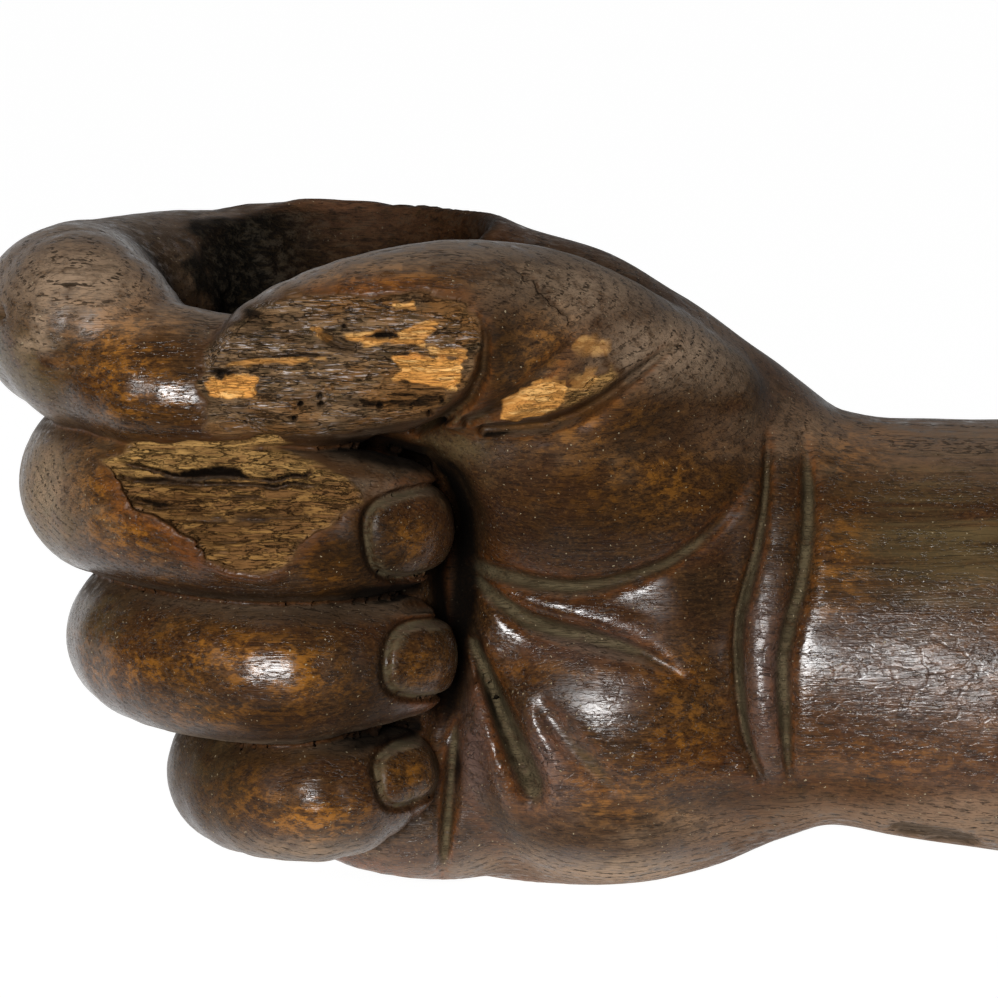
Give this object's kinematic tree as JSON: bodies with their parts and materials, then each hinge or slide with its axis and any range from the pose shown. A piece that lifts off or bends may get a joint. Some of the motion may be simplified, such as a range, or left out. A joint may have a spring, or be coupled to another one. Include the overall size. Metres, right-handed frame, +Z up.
{
  "type": "carved wooden fist and forearm",
  "caption": "Dark waxed oak forearm ending in a clenched fist, hollow through the grip, with a broken thumb and finger; lies on its little-finger side.",
  "frame": {"origin": "middle of the footprint, on the surface it lies on", "axes": "+X along the forearm towards its sawn end, +Z up through the thumb side, -Y out of the palm side"},
  "size_m": [0.3391, 0.0855, 0.123],
  "materials": {
    "old_oak": "old dark waxed varnish, worn to amber on high places, dusty in the creases, bare broken wood on the thumb and middle finger"
  },
  "bodies": {
    "root": {"hand_and_forearm": "old_oak"}
  },
  "joints": []
}
